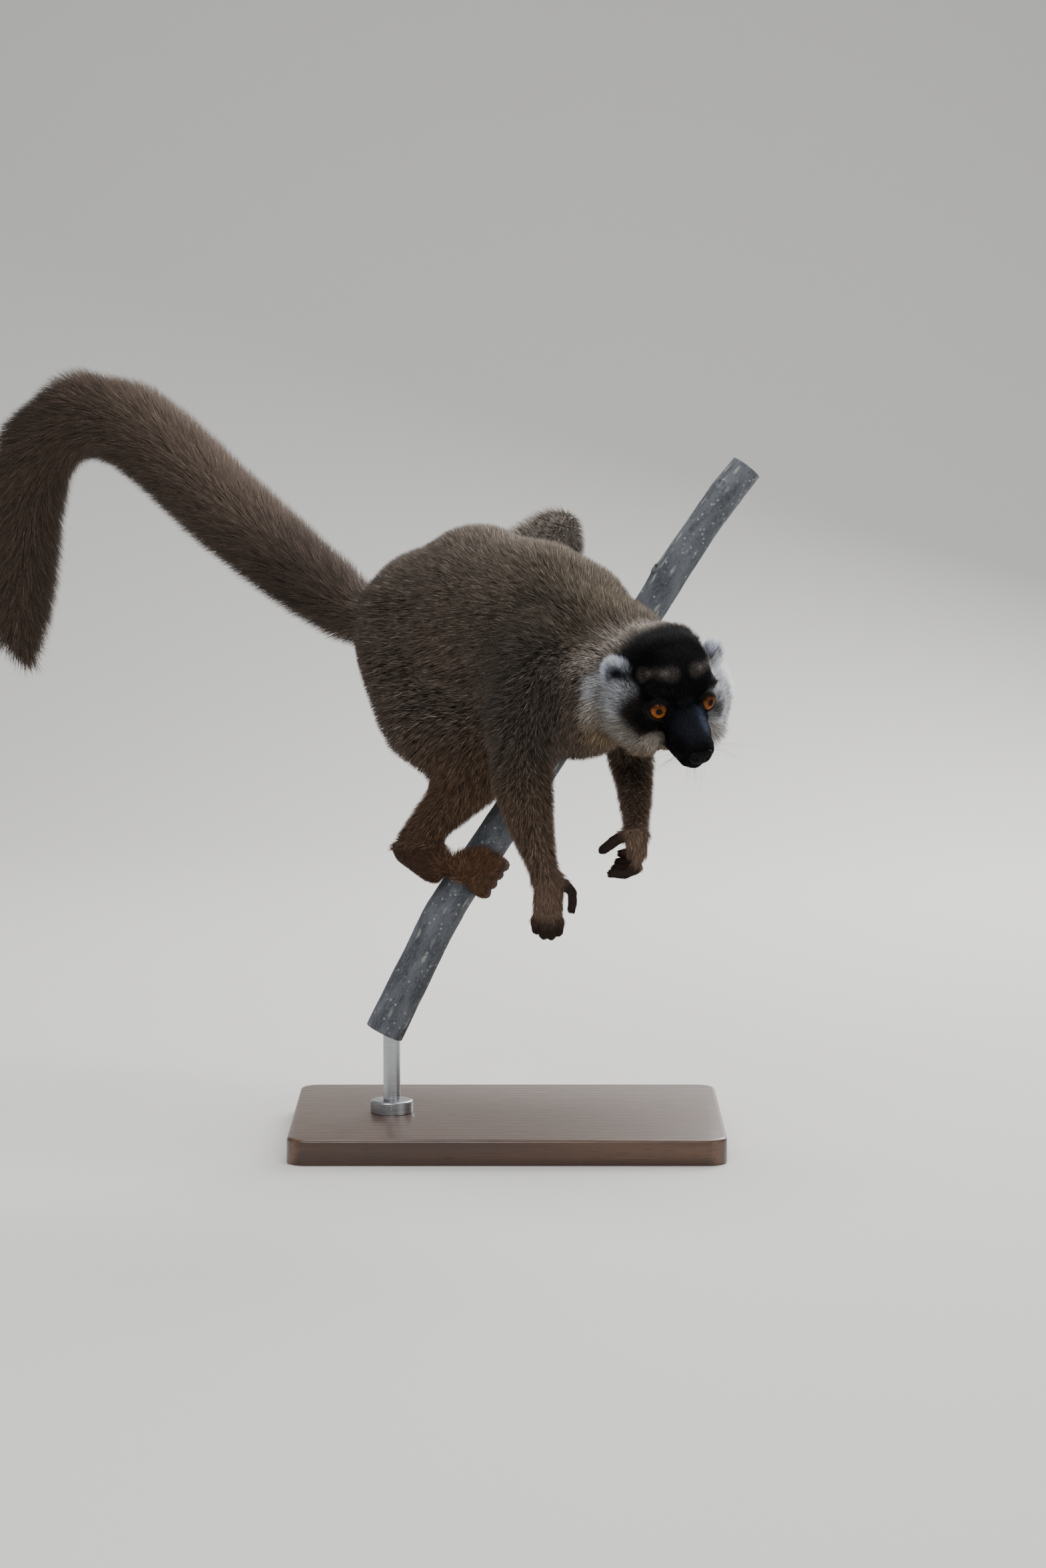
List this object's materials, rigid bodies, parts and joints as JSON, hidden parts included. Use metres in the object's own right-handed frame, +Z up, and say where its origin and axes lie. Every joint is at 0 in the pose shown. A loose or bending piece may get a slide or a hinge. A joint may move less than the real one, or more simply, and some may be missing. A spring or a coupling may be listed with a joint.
{
  "type": "common brown lemur",
  "caption": "Life-size still model of a common brown lemur, hunched with its head turned, hind feet gripping a sloping branch on a display stand",
  "frame": {"origin": "centre of the underside of the stand's base", "axes": "+X the way the branch rises and the longest way across the whole model; +Y away from the side that is shown; +Z up"},
  "size_m": [0.5667, 0.3918, 0.5366],
  "materials": {
    "coat_body": "dense woolly fur, grizzled grey-brown over warmer brown flanks",
    "coat_tail": "long thick dark brown fur",
    "coat_feet": "short rufous brown fur, dark bare pads and fingertips",
    "coat_face": "short black fur with grizzled brow patches and a pale grey to cream ruff",
    "ear_fur": "short pale hair over thin dark skin",
    "nose_leather": "moist black pebbled skin",
    "eye": "wet glossy eyeball with an orange iris",
    "bark": "dark grey bark with pale lichen",
    "base_wood": "satin varnished walnut",
    "stand_steel": "satin steel"
  },
  "bodies": {
    "root": {"head": "coat_face", "nose": "nose_leather", "eye_left": "eye", "eye_right": "eye", "ear_left": "ear_fur", "ear_right": "ear_fur", "neck": "coat_body", "trunk": "coat_body", "tail_1": "coat_tail", "tail_2": "coat_tail", "tail_3": "coat_tail", "tail_4": "coat_tail", "tail_5": "coat_tail", "upper_arm_left": "coat_body", "forearm_left": "coat_body", "hand_left": "coat_feet", "upper_arm_right": "coat_body", "forearm_right": "coat_body", "hand_right": "coat_feet", "thigh_left": "coat_body", "shank_left": "coat_body", "foot_left": "coat_feet", "thigh_right": "coat_body", "shank_right": "coat_body", "foot_right": "coat_feet", "perch_branch": "bark", "stand_base": "base_wood", "stand_rod": "stand_steel", "stand_collar": "stand_steel"}
  },
  "joints": []
}
